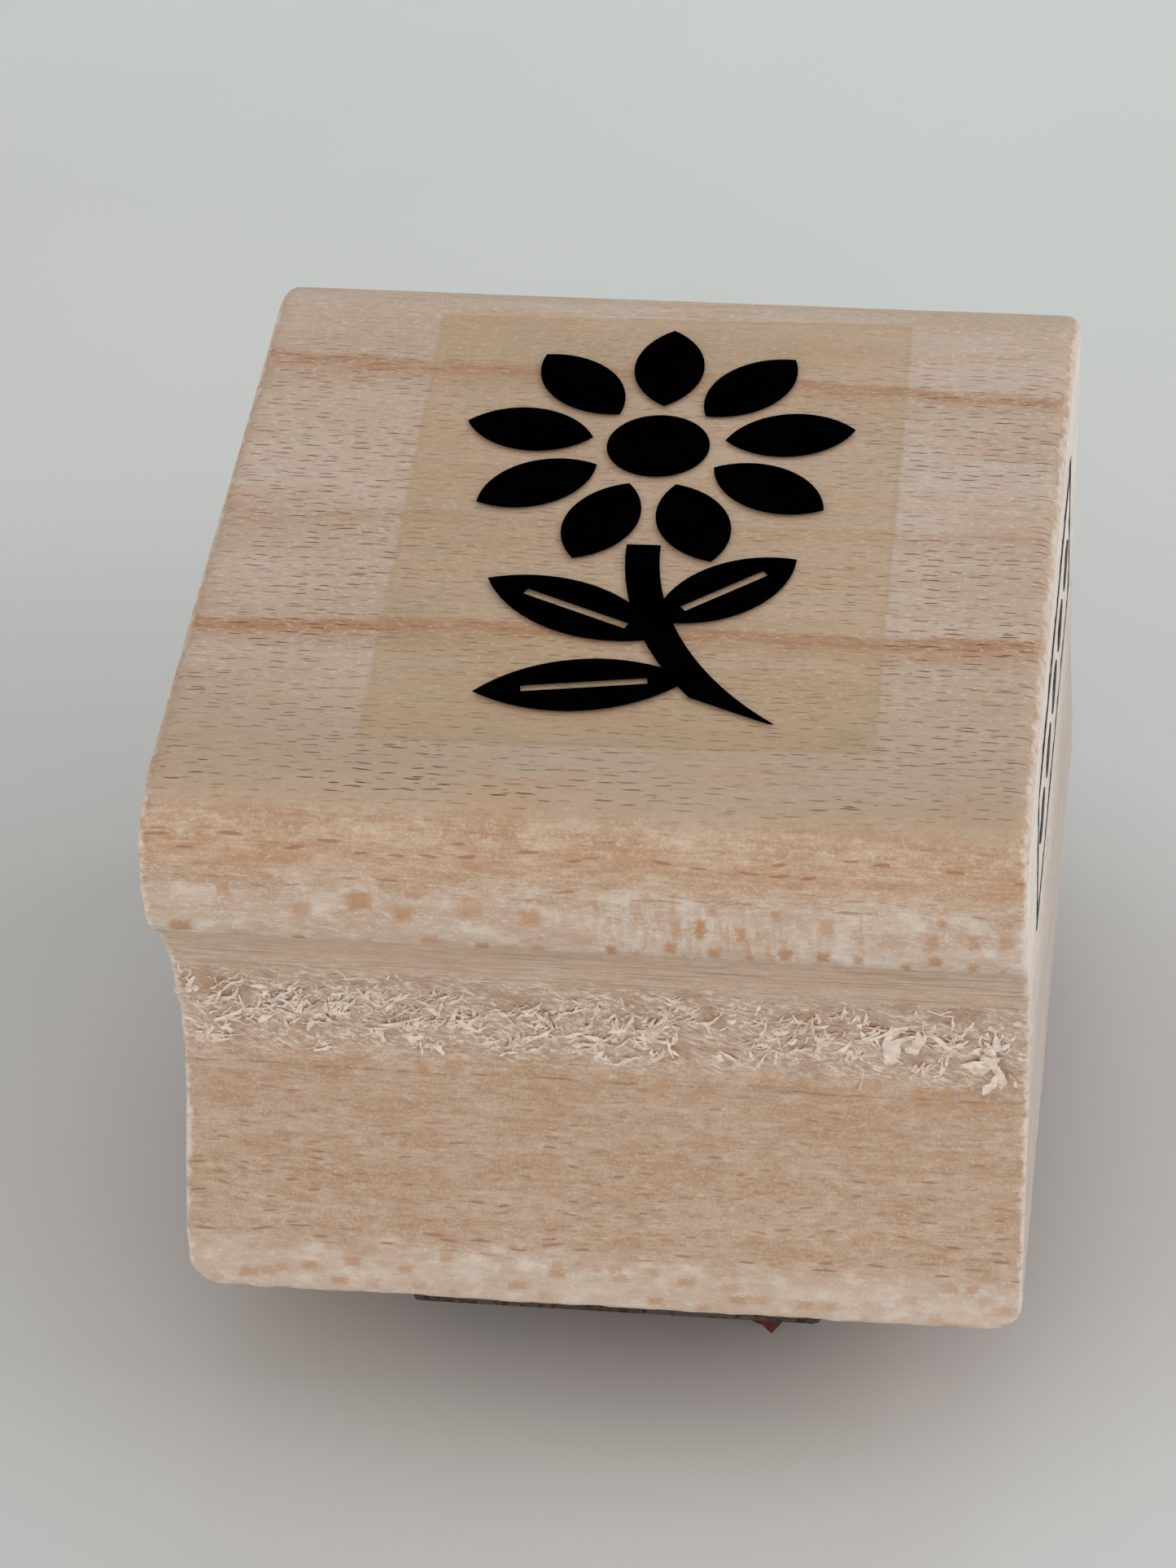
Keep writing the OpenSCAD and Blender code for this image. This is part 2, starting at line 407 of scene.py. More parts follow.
def side_grain(look):
    """Noises and masks that the layers of the sides share."""
    patch = look.noise((1.3, 1.3, 0.9), 3, 0.6)
    return SimpleNamespace(
        patch=patch,
        streak=look.noise((2.0, 0.6, 0.16), 4, 0.64),
        thread=look.noise((0.85, 0.4, 0.06), 3, 0.62),
        speck=look.noise((0.20, 0.3, 0.11), 2, 0.65),
        cloud=look.noise((3.4, 3.0, 1.1), 3, 0.55),
        sway=look.swing(look.noise((4.0, 4.0, 2.5), 1), 0.9),
        fuzz=look.swing(look.noise((0.22, 0.3, 0.16), 2, 0.6), 0.55),
        ragged_z=look.plus(look.z, look.swing(patch, 2.2)),
        lip=look.step(look.z, *LIP_RISE_Z),
        outer=look.step(look.abs(look.y), 15.8, 16.3),
    )


def side_ground(look, grain, rings):
    """The plain wood: darker on the body, warmer on the lip, paler and lined in the smooth cove."""
    streak = grain.streak
    grit = look.noise((0.11, 0.2, 0.09), 1, 0.5)
    mottle = look.noise((0.70, 0.8, 0.30), 3, 0.62)
    wood = look.mix(look.step(grain.cloud, 0.36, 0.64), (0.645, 0.482, 0.374), (0.548, 0.368, 0.25))
    wood = look.tint(wood, (0.50, 0.30, 0.185), rings, 0.30)
    wood = look.layers(wood, (
        (streak, 0.51, 0.68, 0.52, (0.39, 0.232, 0.15)),
        (streak, 0.46, 0.30, 0.44, (0.78, 0.63, 0.51)),
        (mottle, 0.52, 0.65, 0.58, (0.475, 0.27, 0.16)),
        (mottle, 0.47, 0.33, 0.56, (0.78, 0.645, 0.54)),
        (grain.thread, 0.54, 0.66, 0.52, (0.35, 0.208, 0.135)),
        (grain.speck, 0.55, 0.70, 0.42, (0.86, 0.74, 0.63)),
        (grit, 0.54, 0.68, 0.22, (0.92, 0.81, 0.70)),
        (grit, 0.46, 0.34, 0.20, (0.36, 0.23, 0.155)),
    ))
    wood = look.tint(wood, (0.47, 0.322, 0.228), look.step(look.z, *BODY_TOP_Z, 0.0, 0.36))
    wood = look.tint(wood, (0.62, 0.405, 0.255), grain.lip, 0.20)
    seam = look.band(look.plus(look.z, grain.sway), *SEAM_Z, 0.45)
    wood = look.tint(wood, (0.51, 0.29, 0.17), seam, look.step(streak, 0.40, 0.60, 0.10, 0.42))
    cove = look.band(look.plus(look.z, look.swing(grain.patch, 0.25)), *SMOOTH_COVE_Z, 0.3)
    wood = look.tint(wood, (0.765, 0.600, 0.46), cove, 0.40)
    scratch = look.noise((4.5, 0.5, 0.07), 3, 0.55)
    return look.tint(wood, (0.30, 0.205, 0.145), cove, look.step(scratch, 0.53, 0.62), 0.55)


def chalky_bands(look, grain, wood):
    """Pale bands where the cutter scraped across the grain: one under the lip, and one along the foot."""
    band = look.times(look.band(grain.ragged_z, *SCRAPED_Z, 1.3), grain.outer)
    foot = look.step(grain.ragged_z, *FOOT_TOP_Z)
    chalk = look.times(look.highest(band, foot), look.step(grain.cloud, 0.34, 0.60, 0.9, 0.55))
    wood = look.tint(wood, (0.69, 0.555, 0.46), chalk, 0.74)
    wood = look.tint(wood, (0.79, 0.665, 0.57), foot, 0.30)
    wood = look.layers(wood, (
        (grain.patch, 0.50, 0.36, 0.60, (0.84, 0.755, 0.68)),
        (grain.speck, 0.52, 0.70, 0.50, (0.83, 0.74, 0.66)),
        (grain.patch, 0.53, 0.66, 0.50, (0.56, 0.37, 0.255)),
    ), chalk)
    brush = look.noise((0.24, 1.0, 1.5), 3, 0.55)
    rubbed = look.times(band, look.step(look.x, -3.0, 3.0), look.step(look.x, 12.0, 9.0))
    wood = look.layers(wood, (
        (brush, 0.52, 0.66, 0.34, (0.80, 0.73, 0.67)),
        (brush, 0.47, 0.34, 0.48, (0.56, 0.335, 0.200)),
    ), rubbed)
    return wood, foot


def flecks_and_blots(look, grain, wood, foot):
    """Square brown flecks in the band under the lip, and blots above the body and along the foot."""
    x, z, fuzz = look.x, look.z, grain.fuzz
    fuzzy_x = look.plus(x, fuzz)
    narrowed = look.times(fuzzy_x, look.step(x, -1.0, 4.0, 1.0, 1.7))
    level = look.plus(z, 0.55, fuzz, grain.sway)
    fleck, chance, depth = look.marks(narrowed, level, (2.3, 1.45), (0.38, 0.46), True, 0.7)
    fleck = look.times(fleck, look.step(chance, 0.22, 0.32), look.step(depth, 0.0, 1.0, 0.55, 0.95))
    wood = look.tint(wood, (0.54, 0.285, 0.15), fleck, look.band(z, *FLECKED_Z, 0.2), grain.outer)
    blot, chance, depth = look.marks(fuzzy_x, look.plus(z, fuzz, 5.0), (1.35, 0.9), (0.34, 0.26), True)
    blot = look.times(blot, look.step(chance, 0.30, 0.45), look.step(depth, 0.0, 1.0, 0.35, 0.75))
    return look.tint(wood, (0.545, 0.315, 0.175), blot, look.highest(look.band(z, 9.3, 10.6, 0.4), foot))


def side_dashes(look, grain, wood):
    """Short reddish dashes: rows on the lip, under it and above the foot, and more down the body."""
    x, z = look.x, look.z
    wander = look.plus(z, grain.sway)
    dash, chance, _ = look.marks(x, wander, (1.25, 0.58), (0.42, 0.055))
    rows = look.highest(
        look.times(look.band(wander, 21.4, 21.8, 0.15), 0.7),
        look.band(wander, 22.7, 23.2, 0.15),
        look.band(wander, 2.8, 3.3, 0.2),
        look.times(look.band(z, 17.8, 18.15, 0.1), 0.9),
    )
    dash = look.times(dash, look.step(chance, 0.12, 0.45), rows)
    wood = look.tint(wood, (0.36, 0.165, 0.09), dash, 0.72)
    fine, chance, depth = look.marks(x, look.plus(wander, 3.1), (0.90, 0.40), (0.28, 0.05))
    fine = look.times(fine, look.step(chance, 0.35, 0.9), look.step(depth, 0.0, 1.0, 0.5, 1.0))
    spread = look.highest(look.step(z, 9.8, 9.0), look.times(grain.lip, 0.5))
    fine = look.times(fine, look.step(z, 3.0, 3.6), spread)
    wood = look.tint(wood, (0.335, 0.19, 0.122), fine, look.step(z, 8.5, 6.0, 0.55, 0.85))
    return wood, dash


def torn_cove(look, grain, wood):
    """Torn wood in the grooves: matted pale fuzz, brown patches, and dark gaps painted as the shade between
    the fibres.
    """
    x, y, z = look.x, look.y, look.z
    torn = look.times(look.band(grain.ragged_z, *TORN_COVE_Z, 0.9), look.step(look.abs(y), 15.6, 15.2))
    slant = look.join(look.plus(x, look.times(z, -1.1)), y, look.plus(z, look.times(x, 0.4)))
    fibre = look.noise((0.55, 0.4, 0.16), 4, 0.7, 0.8, slant)
    clump = look.noise((1.5, 1.5, 1.1), 3, 0.6)
    wood = look.tint(wood, (0.585, 0.44, 0.35), torn, 0.6)
    wood = look.layers(wood, (
        (clump, 0.52, 0.66, 0.65, (0.45, 0.272, 0.172)),
        (fibre, 0.48, 0.62, look.step(clump, 0.64, 0.46, 0.25, 0.85), (0.92, 0.80, 0.69)),
        # Painted shade: the dark gaps between the fibres
        (fibre, 0.44, 0.34, 0.66, (0.34, 0.212, 0.145)),
    ), torn)
    return wood, look.times(torn, fibre)


def crease_shade_lines(look, wood):
    """Painted shade: thin dark lines, broken and wavering, in the creases under the lip and at the top of the
    body.
    """
    gap = look.step(look.noise((1.3, 3, 3), 4, 0.7), 0.42, 0.60)
    waver = look.swing(look.noise((2.6, 4, 4), 4, 0.6), 0.45)
    lines = []
    for height, reach, strength in ((SHOULDER_CREASE_Z, 0.07, 0.5), (BODY_CREASE_Z, 0.075, 0.75)):
        off = look.abs(look.plus(look.z, waver, -height))
        lines.append(look.step(off, 0.0, reach, strength, 0.0))
    # The shade in the creases is painted into the colour as these dark lines
    crease_shade = look.times(look.highest(*lines), gap)
    return look.tint(wood, (0.27, 0.145, 0.088), crease_shade, 0.78), crease_shade


def side_wood(look, rings):
    """The moulded front and back: lip, smooth cove, torn cove, flared body and foot, from the top down."""
    grain = side_grain(look)
    wood = side_ground(look, grain, rings)
    wood, foot = chalky_bands(look, grain, wood)
    wood = flecks_and_blots(look, grain, wood, foot)
    wood, dash = side_dashes(look, grain, wood)
    wood, torn = torn_cove(look, grain, wood)
    wood, crease_shade = crease_shade_lines(look, wood)
    height = look.plus(
        look.times(grain.streak, 0.4), look.times(grain.speck, 0.5), look.times(grain.thread, 0.3),
        look.times(torn, 1.5), look.times(crease_shade, -0.6), look.times(dash, -0.3),
    )
    return wood, height


def long_grain():
    """Flat-sawn maple along the grain: top, front, back and underside."""
    look = Look("maple_long_grain", BLOCK_LOW.z)
    facing = look.abs(look.split(look.normal)[2])
    level = look.step(look.plus(facing, look.step(look.y, 10.0, 16.0, 0.0, 0.25)), 0.70, 0.97)
    rings = growth_rings(look)
    top, top_height = top_wood(look, rings)
    side, side_height = side_wood(look, rings)
    upright = look.math("SUBTRACT", 1.0, level)
    height = look.plus(look.times(top_height, level), look.times(side_height, upright))

    # Worn edges at the sawn ends are paler
    chip = look.swing(look.noise((0.5, 0.5, 0.5), 3, 0.65), 0.9)
    worn = look.step(look.plus(look.abs(look.x), chip), HALF_W - 0.30, HALF_W + 0.02)
    wood = look.tint(look.mix(level, side, top), (0.92, 0.82, 0.74), worn, 0.68)
    return look.finish(wood, look.step(height, 0.0, 1.0, 0.52, 0.66), look.bump(height, 0.06, 0.55), 0.3)


def end_grain():
    """The sawn ends: pale, with fine upright rays, faint rings and saw marks, and painted shade that darkens
    them towards the bottom.
    """
    look = Look("maple_end_grain", BLOCK_LOW.z)
    rings = growth_rings(look)
    ray = look.noise((4.0, 0.09, 3.2), 2, 0.6)
    pore, chance = look.cells((0.5, 0.22, 0.22))
    pit = look.times(look.step(pore, 0.28, 0.16), look.step(chance, 0.3, 0.6))
    patch = look.noise((5, 3.0, 3.0), 3, 0.6)
    slant = look.join(look.x, look.plus(look.y, look.times(look.z, 0.18)), look.z)
    saw = look.noise((9, 0.35, 9), 2, 0.5, where=slant)
    wood = look.mix(look.step(patch, 0.35, 0.65), (0.95, 0.88, 0.835), (0.88, 0.79, 0.73))
    wood = look.tint(wood, (0.56, 0.40, 0.29), rings, 0.40)
    wood = look.layers(wood, (
        (ray, 0.50, 0.72, 0.45, (0.86, 0.78, 0.71)),
        (saw, 0.55, 0.75, 0.18, (0.52, 0.41, 0.33)),
    ))
    wood = look.tint(wood, (0.40, 0.29, 0.22), pit, 0.45)
    # Painted shade: the ends darken towards the bottom
    wood = look.tint(wood, (0.50, 0.425, 0.375), look.step(look.z, 20.0, 7.0, 0.0, 0.62))
    height = look.plus(look.times(saw, 0.8), look.times(ray, 0.4), look.times(pit, -0.6))
    return look.finish(wood, look.step(patch, 0.3, 0.7, 0.70, 0.82), look.bump(height, 0.06, 0.5), 0.2)


def torn_wood():
    look = Look("torn_maple_fibre")
    tone = look.noise((0.6, 0.35, 0.35), 3, 0.65)
    along = look.noise((0.3, 0.07, 0.07), 2, 0.6)
    wood = look.mix(look.step(tone, 0.32, 0.68), (0.74, 0.575, 0.47), (0.96, 0.845, 0.755))
    wood = look.tint(wood, (0.97, 0.925, 0.88), look.step(along, 0.5, 0.7), 0.35)
    return look.finish(wood, look.step(tone, 0.3, 0.7, 0.68, 0.8), look.bump(along, 0.03, 0.4), 0.2)


def clear_layer(name, colour, alpha, roughness):
    """A clear layer with faint ripples and dust, seen mostly by its sheen."""
    look = Look(name)
    ripple = look.noise((2.4, 2.4, 2.4), 2, 0.5)
    dust = look.noise((0.15, 0.15, 0.15), 2, 0.7)
    tint = look.mix(look.step(dust, 0.62, 0.78), colour, (0.95, 0.92, 0.86))
    rough = look.step(ripple, 0.3, 0.7, roughness, roughness + 0.12)
    return look.finish(tint, rough, look.bump(ripple, 0.02, 0.3), 0.25, alpha)


def printed_ink():
    look = Look("printed_ink")
    cloud = look.noise((1.8, 1.8, 1.8), 3, 0.5)
    near, chance = look.cells((1.5, 1.5, 1.5))
    dust = look.times(look.step(near, 0.035, 0.02), look.step(chance, 0.55, 0.6))
    ink = look.mix(cloud, (0.0004, 0.0004, 0.0005), (0.0010, 0.0009, 0.0010))
    ink = look.mix(dust, ink, (0.12, 0.115, 0.11))
    return look.finish(ink, look.step(cloud, 0.3, 0.7, 0.5, 0.6), look.bump(cloud, 0.01, 0.3), 0.0)


def stamped_ink():
    """Ink pressed into bare end grain: it breaks up where the wood is open."""
    look = Look("stamped_ink")
    grain = look.noise((1.0, 0.09, 0.9), 3, 0.6)
    patch = look.noise((0.7, 0.7, 0.7), 3, 0.6)
    ink = look.mix(look.step(patch, 0.35, 0.7), (0.018, 0.018, 0.022), (0.06, 0.058, 0.062))
    ink = look.tint(ink, (0.38, 0.33, 0.30), look.step(grain, 0.56, 0.7), 0.7)
    return look.finish(ink, look.step(grain, 0.3, 0.7, 0.62, 0.8), look.bump(grain, 0.02, 0.4), 0.15)


def tape_edge():
    look = Look("tape_edge")
    strand = look.noise((0.6, 0.6, 0.05), 3, 0.6)
    tape = look.mix(look.step(strand, 0.35, 0.65), (0.55, 0.48, 0.36), (0.70, 0.64, 0.52))
    return look.finish(tape, look.step(strand, 0.3, 0.7, 0.40, 0.60), look.bump(strand, 0.02, 0.4))


def foam():
    """Dark closed-cell foam: small bubbles cut open on its sides, darkened as painted shade inside them."""
    look = Look("grey_foam")
    near, chance = look.cells((0.24, 0.24, 0.24))
    pit = look.step(near, 0.55, 0.25)
    tone = look.noise((2.5, 2.5, 2.5), 2, 0.5)
    grey = look.mix(look.step(tone, 0.35, 0.65), (0.07, 0.053, 0.044), (0.100, 0.077, 0.063))
    # Painted shade inside the open bubbles
    grey = look.tint(grey, (0.022, 0.02, 0.019), pit, look.step(chance, 0.1, 0.9, 0.4, 0.85))
    return look.finish(grey, look.step(chance, 0.0, 1.0, 0.78, 0.92), look.bump(pit, -0.06, 0.7), 0.25)


def red_rubber():
    """Moulded dark red rubber, with a fine blast texture and a trace of old ink on the raised design."""
    look = Look("red_rubber")
    tone = look.noise((3.0, 3.0, 1.0), 3, 0.5)
    fine = look.noise((0.09, 0.09, 0.09), 3, 0.6)
    wear = look.noise((1.4, 1.4, 1.4), 4, 0.65)
    red = look.mix(look.step(tone, 0.35, 0.65), (0.100, 0.021, 0.014), (0.15, 0.032, 0.022))
    red = look.tint(red, (0.25, 0.08, 0.062), look.step(fine, 0.55, 0.75), 0.35)
    printing_face = look.step(look.z, 0.35, 0.02)
    red = look.tint(red, (0.035, 0.012, 0.014), printing_face, look.step(wear, 0.38, 0.62), 0.72)
    return look.finish(red, look.step(fine, 0.3, 0.7, 0.50, 0.66), look.bump(fine, 0.02, 0.5), 0.25)


def table_top():
    """A pale grey table, with a soft painted shadow to the stamp's left and another under and around it."""
    look = Look("table_top")
    cloud = look.noise((45, 45, 45), 3, 0.55)
    grain = look.noise((0.5, 0.5, 0.5), 2, 0.6)
    grey = look.mix(look.step(cloud, 0.3, 0.7), (0.712, 0.725, 0.718), (0.75, 0.76, 0.753))
    grey = look.tint(grey, (0.735, 0.758, 0.77), look.step(look.y, -14.0, -26.0))
    # Painted shadows: soft darker patches on the table, one to the stamp's left and one round it
    for centre, squeeze, start, end, colour in (
        ((-34, 16, 0), (0.8, 1.0, 1.0), 30.0, 6.0, (0.625, 0.63, 0.622)),
        ((0, 0, 0), (0.62, 1.0, 1.0), 28.0, 11.0, (0.63, 0.598, 0.598)),
    ):
        squeezed = look.vector("MULTIPLY", look.vector("SUBTRACT", look.where, centre), squeeze)
        grey = look.tint(grey, colour, look.step(look.length(squeezed), start, end))
    return look.finish(grey, look.step(cloud, 0.3, 0.7, 0.62, 0.70), look.bump(grain, 0.01, 0.2), 0.2)


# ---- mesh helpers


def make_piece(name, points, faces, materials, face_slots=None, smooth=True):
    """A mesh object from points in millimetres."""
    mesh = bpy.data.meshes.new(name)
    mesh.from_pydata((np.asarray(points) * MM).tolist(), [], faces)
    for material in materials:
        mesh.materials.append(material)
    if face_slots is not None:
        mesh.polygons.foreach_set("material_index", face_slots)
    mesh.polygons.foreach_set("use_smooth", [smooth] * len(mesh.polygons))
    mesh.update()
    piece = bpy.data.objects.new(name, mesh)
    bpy.context.scene.collection.objects.link(piece)
    return piece


def arc(centre, radius, start, end, spacing):
    """Points from the angle start to the angle end, in degrees, both included."""
    count = max(2, math.ceil(abs(math.radians(end - start)) * radius / spacing))
    angles = (math.radians(start + (end - start) * i / count) for i in range(count + 1))
    return [(centre[0] + radius * math.cos(a), centre[1] + radius * math.sin(a)) for a in angles]


def line(start, end, count):
    return [
        (start[0] + (end[0] - start[0]) * i / count, start[1] + (end[1] - start[1]) * i / count)
        for i in range(count + 1)
    ]


def smoothstep(value, start, end):
    t = min(1.0, max(0.0, (value - start) / (end - start)))
    return t * t * (3 - 2 * t)


# ---- the block's section

LIP_TOP_R = 3.2
LIP_LOW_R = 2.6
LIP_LOW_Z = BLOCK_H - 4.5
LIP_END_ANGLE = math.radians(52)
GROOVE_DEPTH = 3.5
COVE_Z = 11.0
COVE_END_Z = 9.2
FLARE_ANGLE = math.radians(24)
BASE_INSET = 0.5
HIP_R = 3.0
FOOT_R = 0.5
FLAT_COUNT = 64

SHOULDER_Y = LIP_Y - LIP_LOW_R * (1 - math.cos(LIP_END_ANGLE))
SHOULDER_Z = LIP_LOW_Z - LIP_LOW_R * math.sin(LIP_END_ANGLE)
COVE_RISE = SHOULDER_Z - COVE_Z
COVE_SAG = SHOULDER_Y - (LIP_Y - GROOVE_DEPTH)
COVE_R = (COVE_RISE**2 + COVE_SAG**2) / (2 * COVE_SAG)
COVE_Y = LIP_Y - GROOVE_DEPTH + COVE_R


def cove_surface(z):
    """Half depth of the cove at a height above the underside, and its slope there."""
    across = math.sqrt(COVE_R**2 - (z - COVE_Z) ** 2)
    return COVE_Y - across, (z - COVE_Z) / across


def half_section():
    """Points (y, z) above the block's underside, from the middle of its top round to the middle below.

    Also returns the index where the side begins and where it ends.
    """
    cove_start = 180 - math.degrees(math.asin(COVE_RISE / COVE_R))
    cove_end = 180 + math.degrees(math.asin((COVE_Z - COVE_END_Z) / COVE_R))
    top_flat = line((0, BLOCK_H), (LIP_Y - LIP_TOP_R, BLOCK_H), FLAT_COUNT)
    side = arc((LIP_Y - LIP_TOP_R, BLOCK_H - LIP_TOP_R), LIP_TOP_R, 90, 0, 0.22)[1:]
    side += line((LIP_Y, BLOCK_H - LIP_TOP_R), (LIP_Y, LIP_LOW_Z), 7)[1:]
    side += arc((LIP_Y - LIP_LOW_R, LIP_LOW_Z), LIP_LOW_R, 0, -math.degrees(LIP_END_ANGLE), 0.2)[1:]
    side += arc((COVE_Y, COVE_Z), COVE_R, cove_start, cove_end, 0.13)[1:]
    cove_end_y = side[-1][0]
    base_y = LIP_Y - BASE_INSET
    hip_y = base_y - HIP_R
    hip_top_y = hip_y + HIP_R * math.cos(FLARE_ANGLE)
    hip_z = COVE_END_Z - HIP_R * math.sin(FLARE_ANGLE) - (hip_top_y - cove_end_y) / math.tan(FLARE_ANGLE)
    side += line((cove_end_y, COVE_END_Z), (hip_top_y, hip_z + HIP_R * math.sin(FLARE_ANGLE)), 30)[1:]
    side += arc((hip_y, hip_z), HIP_R, math.degrees(FLARE_ANGLE), 0, 0.2)[1:]
    side += line((base_y, hip_z), (base_y, FOOT_R), 8)[1:]
    side += arc((base_y - FOOT_R, FOOT_R), FOOT_R, 0, -90, 0.12)[1:]
    bottom_flat = line((base_y - FOOT_R, 0), (0, 0), FLAT_COUNT)[1:]
    return top_flat + side + bottom_flat, FLAT_COUNT, FLAT_COUNT + len(side)


def section_normals(points):
    """Outward unit normals of the closed loop."""
    along = np.roll(points, -1, 0) - np.roll(points, 1, 0)
    along /= np.linalg.norm(along, axis=1)[:, None]
    return np.stack([-along[:, 1], along[:, 0]], 1)


def edge_ease(z):
    """Radius of the eased edge at the sawn ends, tight on the sides and broader on the top.

    Also returns how much further the foot's corner is rounded, which lifts it at the end.
    """
    return 0.20 + 0.45 * smoothstep(z, BLOCK_H - 2.0, BLOCK_H), 1.1 * smoothstep(z, 3.4, 0.0)


def torn_amount(x, y, z):
    """How torn the wood is: 1 in the lower half of the front groove, less at the back."""
    if abs(y) > 15.6:
        return 0.0
    height = smoothstep(z, 9.7, 10.6) * (1 - smoothstep(z, 13.4, 14.9))
    patchy = 0.60 + 0.75 * noise.noise(Vector((x / 2.6, y / 9, z / 2.0)))
    gap = 1 - 0.35 * math.exp(-((x - 4.6) / 1.3) ** 2)
    side = gap if y < 0 else 0.4
    return max(0.0, height * patchy * side)


def wear(point):
    """How far the real surface stands out from the section at a point of it, in millimetres."""
    x, y, z = point
    here = Vector(point)
    out = 0.030 * noise.noise(here / 6.0) + 0.012 * noise.noise(here / 1.7)
    torn = torn_amount(x, y, z)
    if torn > 0:
        slant = Vector((x / 0.8 - z / 0.8, y / 0.6, z / 0.35 + x / 1.2))
        out += torn * (0.20 * noise.noise(slant) + 0.13 * noise.noise(slant * 2.3))
    chatter = smoothstep(abs(y), 15.8, 16.6) * smoothstep(z, 17.6, 18.4) * (1 - smoothstep(z, 20.8, 21.6))
    if chatter > 0:
        wave = math.sin(TAU * x / 0.86 + 1.5 * noise.noise(here / 2.0)) * smoothstep(x, -4, 6)
        out += chatter * (0.016 * wave + 0.03 * noise.noise(Vector((x / 0.5, y, z / 0.4))))
    foot = smoothstep(z, 2.6, 1.0) if abs(y) > 15.8 else 0.0
    out += foot * (0.05 * noise.noise(Vector((x / 1.4, y / 0.8, z / 0.8))) + 0.03 * noise.noise(here / 0.5))
    rim = smoothstep(abs(x), HALF_W - 1.0, HALF_W - 0.1)
    out += rim * (0.016 * noise.noise(here / 0.8) - 0.03 * abs(noise.noise(here / 0.35)))
    return out


EASED_REACH = 1.9
STATION_PITCH = 0.17
APPROACH_STEPS = 8
BEND_STEPS = 6


def block_rings(loop):
    """Rings of the section from the left end to the right, with their outward normals.

    At each end the rings are drawn in, as the edge bends round through a quarter turn.
    """
    normals = section_normals(loop)
    ease, foot_lift = np.array([edge_ease(z) for y, z in loop]).T
    rounding = ease + foot_lift
    straight = HALF_W - EASED_REACH
    rings, ring_normals = [], []

    def add_ring(x, bend, side):
        drawn_in = 1 - math.cos(bend)
        shrunk = loop - normals * (ease * drawn_in)[:, None]
        shrunk[:, 1] += foot_lift * drawn_in
        rings.append(np.column_stack([x, shrunk]))
        endward = np.full(len(loop), side * math.sin(bend))
        ring_normals.append(np.column_stack([endward, normals * math.cos(bend)]))

    def add_end(side):
        steps = [(i / APPROACH_STEPS, 0) for i in range(1, APPROACH_STEPS)]
        steps += [(1, i / BEND_STEPS) for i in range(BEND_STEPS + 1)]
        for reach, bend in steps if side > 0 else reversed(steps):
            angle = bend * math.pi / 2
            x = straight + (HALF_W - rounding - straight) * reach + rounding * math.sin(angle)
            add_ring(side * x, angle, side)

    add_end(-1)
    stations = int(2 * straight / STATION_PITCH)
    for i in range(stations + 1):
        add_ring(np.full(len(loop), -straight + 2 * straight * i / stations), 0.0, 0)
    add_end(1)
    return rings, ring_normals


def cap_end(points, outward, ring, first, side, side_start, side_end):
    """Faces of a grid that closes an end. Its border is the ring of points that begins at first."""
    rows = side_end - side_start
    bottom = side_end + FLAT_COUNT

    def border_index(row, column):
        if row == 0:
            index = abs(column)
        elif row == rows:
            index = bottom - abs(column)
        else:
            index = side_start + row
        return index if column >= 0 or index in (0, bottom) else len(ring) - index

    grid, faces = {}, []
    for row in range(rows + 1):
        x, y, z = ring[side_start + row]
        for column in range(-FLAT_COUNT, FLAT_COUNT + 1):
            if row in (0, rows) or abs(column) == FLAT_COUNT:
                grid[row, column] = first + border_index(row, column)
                continue
            grid[row, column] = len(points)
            points.append(np.array([x, y * column / FLAT_COUNT, z]))
            outward.append(np.array([side, 0.0, 0.0]))
    for row in range(rows):
        for column in range(-FLAT_COUNT, FLAT_COUNT):
            right = column + 1
            corners = grid[row, column], grid[row + 1, column], grid[row + 1, right], grid[row, right]
            faces.append(corners if side > 0 else corners[::-1])
    return faces


def build_block():
    """The block as rings of points along x, closed at each end by a grid, and then worn."""
    half, side_start, side_end = half_section()
    half = np.array(half)
    loop = np.vstack([half, half[-2:0:-1] * (-1, 1)])
    rings, ring_normals = block_rings(loop)
    points, outward = list(np.vstack(rings)), list(np.vstack(ring_normals))
    count = len(loop)
    faces = []
    for r in range(len(rings) - 1):
        a, b = r * count, (r + 1) * count
        for i in range(count):
            j = (i + 1) % count
            faces.append((a + i, b + i, b + j, a + j))
    slots = [0] * len(faces)
    for side, r in ((-1, 0), (1, len(rings) - 1)):
        faces += cap_end(points, outward, rings[r], r * count, side, side_start, side_end)
    slots += [1] * (len(faces) - len(slots))

    points, outward = np.array(points), np.array(outward)
    points += outward * np.array([wear(p) for p in points])[:, None]
    points[:, 2] += BLOCK_LOW.z
    block = make_piece("maple_block", points, faces, [long_grain(), end_grain()], slots)
    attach(block, "handle")
    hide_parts("handle_block")


# ---- torn fibres in the grooves


def groove_frame(z):
    """Half depth of the groove at a height, with the directions out of it and up along it."""
    y, slope = cove_surface(min(max(z, COVE_END_Z), SHOULDER_Z))
    return y, Vector((0, 1, -slope)).normalized(), Vector((0, slope, 1)).normalized()


def grow_path(draw, start, angle, length, rise, curl, width):
    """Points of a shred that leaves start at an angle from the grain, lifts off and comes back."""
    steps = 7 if width < 0.25 else 5
    stiffness = max(0.25, 1 - 2.2 * width)
    place, path = Vector(start), []
    for i in range(steps + 1):
        path.append(place.copy())
        _, outward, upward = groove_frame(place.z)
        heading = Vector((1, 0, 0)) * math.cos(angle) + upward * math.sin(angle)
        climb = rise * math.cos(i / steps * math.pi * draw.uniform(0.8, 1.1))
        place += (heading + outward * climb).normalized() * (length / steps)
        angle += (curl / steps + draw.gauss(0, 0.28)) * stiffness
        floor_y = groove_frame(place.z)[0]
        place.y = min(max(place.y, floor_y - 0.02), floor_y + 0.7)
        place.x = min(max(place.x, 0.3 - HALF_W), HALF_W - 0.3)
    return path


